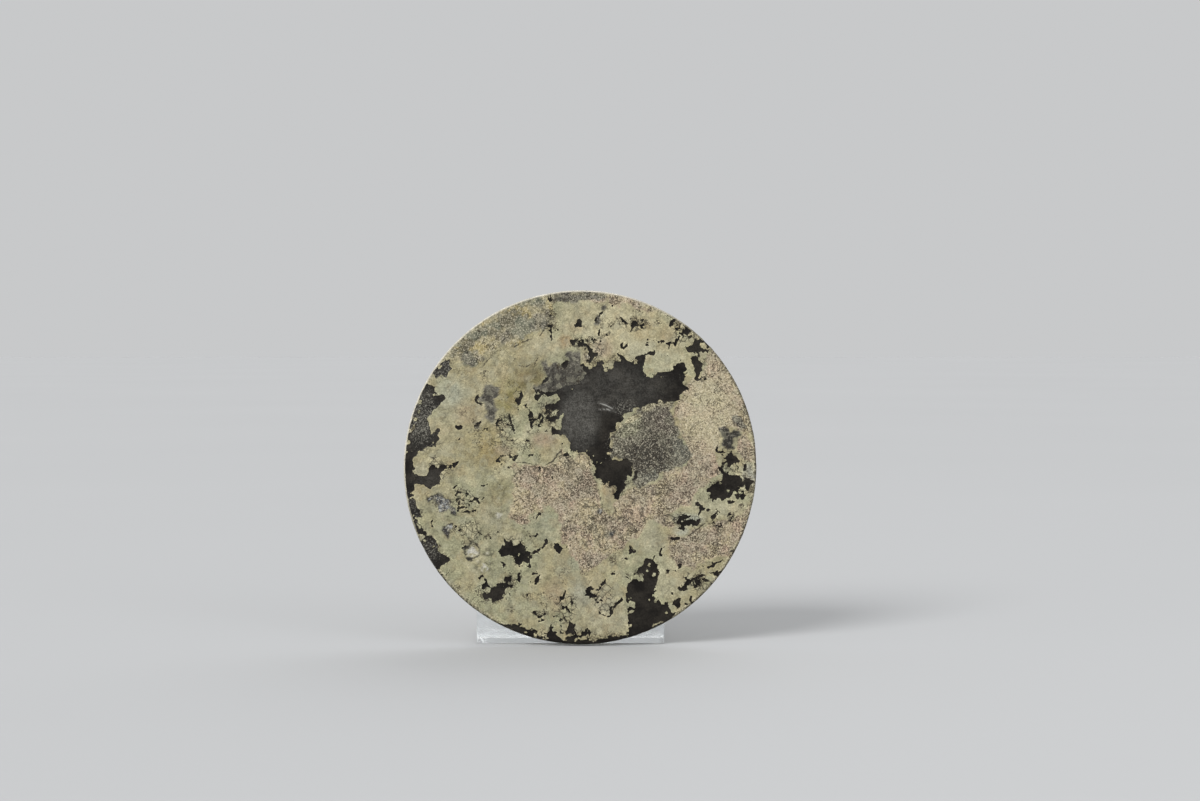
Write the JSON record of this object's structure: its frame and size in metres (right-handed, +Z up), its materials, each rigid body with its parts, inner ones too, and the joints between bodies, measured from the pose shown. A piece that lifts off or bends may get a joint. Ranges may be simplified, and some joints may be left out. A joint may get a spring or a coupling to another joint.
{
  "type": "bronze mirror",
  "caption": "Round cast bronze mirror with a plain patinated face and a pierced knob on its back, leaning on a clear display stand.",
  "frame": {"origin": "middle of the whole part's underside, on the surface it stands on", "axes": "+Z up, the mirror's face looks towards -Y and leans back towards +Y, +X to the viewer's right"},
  "size_m": [0.1692, 0.08, 0.1693],
  "materials": {
    "bronze_patina": "matte",
    "clear_plastic": "gloss"
  },
  "bodies": {
    "root": {"mirror_disc": "bronze_patina", "stand_foot": "clear_plastic", "stand_upright": "clear_plastic"}
  },
  "joints": []
}
